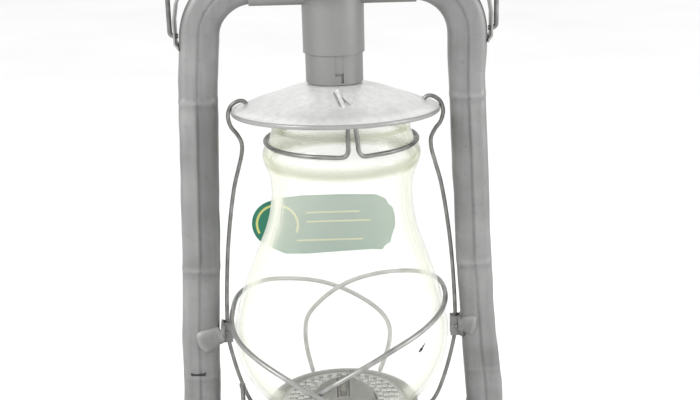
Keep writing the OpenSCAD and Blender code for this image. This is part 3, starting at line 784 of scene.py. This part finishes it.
# ---- glass and canopy ----

# (radius, height above the canopy's rim) in millimetres
GLASS_LINE = [
    (37.6, -165.3), (38.6, -161), (44.6, -152), (51.4, -142), (55.9, -130), (57.1, -118),
    (54.9, -106), (50.6, -92), (45.6, -78), (40.2, -64), (37.0, -50), (36.8, -36),
    (40.0, -26), (40.4, -21), (37.2, -15), (35.4, -9), (35.2, -1),
]
GLASS_OUTLINE = catmull(GLASS_LINE, 6)
GLASS_WALL = 2.0 * MM
GLASS_SEGMENTS = 120
CANOPY_LINE = [
    (51.6, 0.6), (49.4, 1.8), (43.5, 4.4), (38, 6.3), (33, 8), (28, 9.8), (23.5, 11.3),
    (18.5, 12.6), (13.6, 13.6),
]
CANOPY_SLOPE = catmull(CANOPY_LINE, 9)
CANOPY_SHEET = 0.6
CANOPY_ROLL_AT, CANOPY_ROLL_R = 51.9, 1.2
CANOPY_COLLAR_OUT, CANOPY_COLLAR_IN, CANOPY_COLLAR_TOP = 13.4, 12.7, 24.2
CANOPY_SEGMENTS = 288
CANOPY_TILT = math.tan(math.radians(2.6))  # it sits with its front edge a little high
NECK_LEAN = 2.5 * MM  # the globe's neck stands a little to the right of its foot
LEAN_FROM, LEAN_OVER = -118, 96  # in millimetres from the rim


def lean(p):
    """Moves a point of the globe's upper half to the right, more the higher it is."""
    t = min(1.0, max(0.0, ((p.z - RIM_Z) / MM - LEAN_FROM) / LEAN_OVER))
    return p + Vector((NECK_LEAN * t * t * (3 - 2 * t), 0, 0))


def glass_globe():
    outer = above_rim(GLASS_OUTLINE)
    inner = offset(outer, GLASS_WALL)
    top = ((outer[-1][0] + inner[-1][0]) / 2, outer[-1][1] + 0.8 * MM)
    foot = ((outer[0][0] + inner[0][0]) / 2, outer[0][1] - 0.15 * MM)
    verts, faces = spun(outer + [top] + inner[::-1] + [foot], GLASS_SEGMENTS, lean)
    piece("glass_globe", verts, faces, GLASS, "cage", "glass", "globe")


def segment_distance(p, a, b):
    """Distance from p to the segment ab in plan."""
    ab = Vector((b[0] - a[0], b[1] - a[1]))
    ap = Vector((p[0] - a[0], p[1] - a[1]))
    t = min(1.0, max(0.0, ap.dot(ab) / ab.length_squared))
    return (ap - t * ab).length


# short pressed ribs at the front of the canopy, in millimetres: start, end, height, half width
RIBS = (
    ((0.8, -19.5), (3.8, -35.5), 1.2, 0.62),
    ((7.4, -26.0), (8.4, -34.5), 1.1, 0.55),
    ((-1.4, -20.5), (2.4, -22.5), 0.8, 0.55),
)
# painted shade in the ribs' hollows: start and end in plan, in millimetres
HOLLOWS = (((-0.9, -21.5), (2.2, -36)), ((3.2, -27), (6.4, -34.5)))
HOLLOW_D = 0.75 * MM
HOLLOW_LIFT = 0.12 * MM
HOLLOW_STEPS = 12


def press_ribs(p):
    if p.y > -18 * MM or p.z < RIM_Z + 1 * MM:
        return p
    lift = 0.0
    for a, b, height, half in RIBS:
        d = segment_distance((p.x / MM, p.y / MM), a, b)
        lift += height * bell(d, half) - 0.35 * height * bell(d - 1.9 * half, half)
    return p + Vector((0, 0, lift * MM))


def dent_canopy(p):
    """Presses the ribs, dents the slope more than the rolled edge, and tilts the whole."""
    q = press_ribs(p)
    r = math.hypot(p.x, p.y)
    past_collar = min(1.0, max(0.0, (r - 16 * MM) / (12 * MM)))
    dent = noise.noise(Vector((p.x, p.y, 0)) * 26) * 0.35 * MM * past_collar
    return q + Vector((0, 0, (dent if r < 50.5 * MM else 0.3 * dent) - p.y * CANOPY_TILT))


def canopy():
    collar = [(CANOPY_COLLAR_OUT, CANOPY_COLLAR_TOP), (CANOPY_COLLAR_OUT, 19), (13.45, 14.6)]
    roll = []
    for k in range(13):
        a = math.radians(100 - 285 * k / 12)
        roll.append((CANOPY_ROLL_AT + CANOPY_ROLL_R * math.cos(a), CANOPY_ROLL_R * math.sin(a)))
    under = offset(CANOPY_SLOPE, CANOPY_SHEET)[2:-1]
    inside = [(CANOPY_COLLAR_IN, 13.3), (CANOPY_COLLAR_IN, CANOPY_COLLAR_TOP)]
    outline = collar + CANOPY_SLOPE[::-1] + roll + under + inside
    verts, faces = spun(above_rim(outline), CANOPY_SEGMENTS, dent_canopy)
    piece("canopy_skin", verts, faces, CANOPY_TIN, "cage", "tinplate", "canopy")


def canopy_hollow_shade():
    """Thin dark wires laid as painted shade in the hollows beside the pressed ribs."""
    for i, (a, b) in enumerate(HOLLOWS):
        path = []
        for k in range(HOLLOW_STEPS + 1):
            x, y = (a[j] + (b[j] - a[j]) * k / HOLLOW_STEPS for j in (0, 1))
            height = between(CANOPY_SLOPE[::-1], math.hypot(x, y))
            p = press_ribs(Vector((x * MM, y * MM, RIM_Z + height * MM)))
            path.append(p + Vector((0, 0, HOLLOW_LIFT - p.y * CANOPY_TILT)))
        wire("canopy_hollow_%d" % i, path, HOLLOW_D, "cage", HOLLOW_PAINTED_SHADE)


# ---- wires ----

GUARD_D = 2.6 * MM
GUARD_CLEAR = 2.3  # from the glass to the middle of a guard wire, in millimetres
GUARD_OVER = 2.8  # how far the left wire stands outside the right one
GUARD_FOOT, GUARD_RISE = -163.01, 14  # a wire stands off fully this far above its foot
LIFTER_D = 2.1 * MM
SPRING_D = 2.2 * MM
# (direction in degrees, height above the rim in millimetres)
LEFT_GUARD = [
    (58, -163), (57, -157), (57.5, -150), (60, -142), (66, -135), (77, -128), (91, -120.5),
    (105, -115), (122, -110.5), (135, -107.5), (151, -106), (166, -105.5), (180, -107),
    (193, -110), (207, -113), (226, -117), (241, -122), (254, -129), (267, -137), (279, -146),
    (288, -156), (291, -163),
]
RIGHT_GUARD = [
    (115, -163), (115.5, -157), (115, -150), (113, -142), (110, -135), (103, -128.5),
    (92, -120.5), (77, -113), (55, -106), (32, -101), (14, -99), (0, -99.5), (-15, -101.5),
    (-38, -104.5), (-60, -109), (-73, -113.5), (-87, -120.5), (-101, -130), (-110, -140),
    (-115, -149), (-118, -157), (-118, -163),
]
# (distance outwards, height above the rim) in millimetres, from the hook in the canopy downwards
LIFTER = [
    (44.6, 0.5), (44.8, 3.4), (46.6, 5.3), (49.8, 5), (53.1, 2.4), (54.6, -2.4), (53.4, -7.8),
    (50.4, -12), (48.4, -16.5), (48.6, -22), (50.4, -29), (53.4, -40), (56.2, -56), (58.6, -75),
    (60.2, -95), (61, -112), (60.9, -124), (59, -135), (55.8, -148), (51.6, -160),
    (47.4, -166.2), (42.4, -167.8),
]
SPRING_R = 38.8  # in millimetres, as the heights
SPRING_Z = -15.5
SPRING_GAP = 278  # direction of its opening, in degrees
SPRING_END_HEIGHTS = (4, 0, -5, -9, -13.2)
SPRING_TURN_Z = -13.5  # where its ends turn up
SPRING_ARC_FROM, SPRING_ARC = 7.5, 345  # degrees past the opening's middle, degrees round
SPRING_STEPS = 34


def glass_radius(z):
    """Outer radius of the globe at a height above the rim, in millimetres."""
    return between([(height, r) for r, height in GLASS_OUTLINE], z)


def guard_wire(name, route, over):
    """A guard wire round the glass; over is how far it stands outside the other at a crossing."""
    path = []
    for deg, z in catmull(route, 7):
        a = math.radians(deg)
        stand_off = over * min(1, 1.15 * abs(math.sin(a))) * min(1, (z - GUARD_FOOT) / GUARD_RISE)
        r = (glass_radius(z) + GUARD_CLEAR + stand_off) * MM
        path.append(Vector((r * math.cos(a), r * math.sin(a), RIM_Z + z * MM)))
    for _ in range(3):
        smoother = [(a + 2 * b + c) / 4 for a, b, c in zip(path, path[1:], path[2:])]
        path = [path[0], *smoother, path[-1]]
    wire(name + "_drawn", path, GUARD_D, "cage", GUARD_WIRE, name)


def lifter_wire(side):
    name = TUBE_SIDES[side][0] + "_lifter_wire"
    path = [(side * x * MM, 0, RIM_Z + z * MM) for x, z in catmull(LIFTER, 7)]
    wire(name + "_drawn", path, LIFTER_D, "cage", WIRE, name)


def on_spring(deg):
    a = math.radians(deg)
    return (SPRING_R * math.cos(a), SPRING_R * math.sin(a))


def spring_end(deg, spread, heights):
    """One turned-up end of the neck spring, which spreads sideways as it rises."""
    x, y = on_spring(SPRING_GAP + deg)
    return [(x + spread * (z - SPRING_TURN_Z), y + 0.1 * (z - SPRING_TURN_Z), z) for z in heights]


def neck_spring():
    """An open ring under the canopy with its two ends turned up."""
    route = spring_end(4, -0.12, SPRING_END_HEIGHTS)
    for k in range(SPRING_STEPS + 1):
        deg = SPRING_GAP + SPRING_ARC_FROM + SPRING_ARC * k / SPRING_STEPS
        route.append((*on_spring(deg), SPRING_Z))
    route += spring_end(-4, 0.02, SPRING_END_HEIGHTS[::-1])
    route = [(x * MM, y * MM, RIM_Z + z * MM) for x, y, z in route]
    path = [lean(Vector(p)) for p in catmull(route, 6)]
    wire("neck_spring_drawn", path, SPRING_D, "cage", WIRE, "neck_spring")


# ---- grille ----

GRILLE_TOP = RIM_Z - 161.7 * MM
HOLE_RINGS = (20.6, 23.5, 26.4, 29.3)  # the solid's own rings of holes
HOLES_PER_MM = 1.15  # holes in a ring, by its radius
HOLE_TURN = 7  # degrees that a ring is turned by, for each millimetre of its radius
BURR = ((0.84, 0.0), (0.9, 0.24), (1.12, 0.2), (1.28, 0.0))  # radius and height of a punched lip
BURR_SIDES = 10


def grille_burrs():
    """The lips that the punch leaves round each hole of the grille, near white: partly bare punched
    metal, partly a painted highlight for the glints on them.
    """
    verts, faces = [], []
    lip = strip_faces(len(BURR), BURR_SIDES, True)
    for ring in HOLE_RINGS:
        count = round(ring * HOLES_PER_MM)
        for k in range(count):
            a = math.radians(360 * k / count + ring * HOLE_TURN)
            centre = Vector((ring * MM * math.cos(a), ring * MM * math.sin(a), GRILLE_TOP))
            start = len(verts)
            for r, up in BURR:
                for j in range(BURR_SIDES):
                    b = TAU * j / BURR_SIDES
                    verts.append(centre + Vector((r * math.cos(b), r * math.sin(b), up)) * MM)
            faces += [tuple(start + v for v in face) for face in lip]
    piece("grille_burrs", verts, faces, BURR_PAINTED_GLINT, "cage", "tinplate")


# ---- tag ----

TAG_THICK = 0.6 * MM
TAG_TILT = math.atan(12 / 32)
TAG_AT = Vector((-8 * MM, 46.2 * MM, RIM_Z - 77 * MM))
# the card's outline in millimetres: a round end on the left, torn corners on the right
TAG_END = (-26.4, 1)
TAG_END_SIZE = (14.4, 17)
TAG_REST = [
    (-28, -17.5), (-23, -20.6), (-10, -21), (8, -20), (27, -19), (33, -19.6), (34.6, -16.6),
    (37.6, -14.4), (38.4, -9), (40.2, -2.5), (40, 5), (38.6, 10.8), (36.4, 13), (34.6, 17.2),
    (29, 20.2), (10, 21), (-12, 20.8), (-25, 19.4),
]
PRINT_LIFT = 0.06 * MM
PRINT_THICK = 0.05 * MM
PRINT_RING_R, PRINT_RING_WIDE = 12.2, 1.3
PRINT_RING_STEPS = 28
PRINT_RULES = ((-10, 20, 8.5), (-10, 26, 2), (-16, 22, -11.5))  # from, to, height
PRINT_RULE_WIDE = 1.1


def tag_point(u, v, lift):
    """A point of the tag's own plane: u across, v up, lift off its front face."""
    out = lift - TAG_THICK / 2
    sin, cos = math.sin(TAG_TILT), math.cos(TAG_TILT)
    return TAG_AT + Vector((u, -v * sin - out * cos, v * cos - out * sin))


def flat_shape(name, loop, lift, thick, material, *replaced):
    """A flat shape in the tag's plane: loop is a closed list of (u, v) in millimetres."""
    verts = [tag_point(u * MM, v * MM, at) for at in (lift, lift - thick) for u, v in loop]
    obj = piece(name, verts, slab_faces(len(loop)), material, "cage", "tag_paper", *replaced)
    obj.data.polygons.foreach_set("use_smooth", [False] * len(obj.data.polygons))


def tag_card():
    (u, v), (wide, high) = TAG_END, TAG_END_SIZE
    turns = [math.radians(a) for a in range(110, 251, 7)]
    loop = [(u + wide * math.cos(a), v + high * math.sin(a)) for a in turns]
    flat_shape("tag_card", loop + TAG_REST, 0, TAG_THICK, CARD, "paper_tag")


def tag_print():
    """A plain open ring and three plain rules."""
    u, v = TAG_END
    turns = [math.radians(-25 + 230 * k / PRINT_RING_STEPS) for k in range(PRINT_RING_STEPS + 1)]
    inner = PRINT_RING_R - PRINT_RING_WIDE
    ring = [(u + PRINT_RING_R * math.cos(a), v + 1.2 * PRINT_RING_R * math.sin(a)) for a in turns]
    ring += [(u + inner * math.cos(a), v + 1.2 * inner * math.sin(a)) for a in reversed(turns)]
    flat_shape("tag_ring", ring, PRINT_LIFT, PRINT_THICK, CARD_BORDER)
    for i, (u0, u1, low) in enumerate(PRINT_RULES):
        high = low + PRINT_RULE_WIDE
        rule = [(u0, low), (u1, low), (u1, high), (u0, high)]
        flat_shape("tag_rule_%d" % i, rule, PRINT_LIFT, PRINT_THICK, CARD_BORDER)


# ---- fleck ----

FLECK_AT = (-46, -115.5)  # direction in degrees, height above the rim in millimetres
FLECK_SIDES = 8
FLECK = ((0, 0, 1.1), (1.3, 1.1, 0.75), (-1.3, -0.6, 0.75), (2.4, 2.0, 0.5))  # across, up, size


def glass_fleck():
    """A dark fleck of dirt stuck to the right of the globe."""
    a, z = math.radians(FLECK_AT[0]), FLECK_AT[1]
    r = glass_radius(z) * MM + 0.1 * MM
    middle = Vector((r * math.cos(a), r * math.sin(a), RIM_Z + z * MM))
    across = Vector((-math.sin(a), math.cos(a), 0))
    out = Vector((math.cos(a), math.sin(a), 0))
    verts, faces = [], []
    for u, v, size in FLECK:
        start = len(verts)
        at = middle + across * u * MM + Vector((0, 0, v * MM))
        for k in range(FLECK_SIDES):
            t = TAU * k / FLECK_SIDES
            w = size * (1 + 0.25 * math.sin(3 * t + u)) * MM
            verts.append(at + across * w * math.cos(t) + Vector((0, 0, w * math.sin(t))))
        verts.append(at + out * 0.45 * size * MM)
        verts.append(at - out * 0.2 * size * MM)
        front, back = start + FLECK_SIDES, start + FLECK_SIDES + 1
        for k in range(FLECK_SIDES):
            m = (k + 1) % FLECK_SIDES
            faces += [(start + k, start + m, front), (start + m, start + k, back)]
    piece("glass_fleck", verts, faces, DIRT_AND_PAINTED_SHADE, "cage", "glass")


# ---- light and ground ----

# name, place, size, power
LIGHTS = (
    ("front_left", (-0.9, -0.7, 1.0), 0.5, 9),
    ("right", (1.1, -0.4, 0.5), 0.5, 4),
)
LIT_POINT = Vector((0, 0, 0.2))
GROUND_HALF = 3.0


def area_light(name, at, size, power):
    data = bpy.data.lights.new(name, "AREA")
    data.shape = "DISK"
    data.size = size
    data.energy = power
    obj = bpy.data.objects.new(name, data)
    obj.location = at
    obj.rotation_euler = (LIT_POINT - Vector(at)).to_track_quat("-Z", "Y").to_euler()
    bpy.context.scene.collection.objects.link(obj)


def surroundings():
    world = bpy.data.worlds.new("white_room")
    world.use_nodes = True
    room = world.node_tree.nodes["Background"]
    room.inputs["Color"].default_value = (1, 1, 1, 1)
    room.inputs["Strength"].default_value = 1.0
    bpy.context.scene.world = world
    bpy.context.scene.view_settings.view_transform = "Standard"
    for light in LIGHTS:
        area_light(*light)
    s = Shader("white_paper")
    s.colour(s.ramp(s.noise(3, 2), greys((0.3, 0.93), (0.7, 0.97))))
    s.set(rough=0.9, specular=0.1)
    mesh = bpy.data.meshes.new("white_ground")
    h = GROUND_HALF
    mesh.from_pydata([(-h, -h, 0), (h, -h, 0), (h, h, 0), (-h, h, 0)], [], [(0, 1, 2, 3)])
    ground = bpy.data.objects.new("white_ground", mesh)
    mesh.materials.append(s.material)
    bpy.context.scene.collection.objects.link(ground)


# ---- the whole lantern ----

dress_cad_nodes()
for side in (-1, 1):
    air_tube(side)
    lifter_wire(side)
glass_globe()
canopy()
canopy_hollow_shade()
guard_wire("left_guard_wire", LEFT_GUARD, GUARD_OVER)
guard_wire("right_guard_wire", RIGHT_GUARD, 0)
neck_spring()
grille_burrs()
tag_card()
tag_print()
solder_cones()
tube_slit()
glass_fleck()
surroundings()
camera()
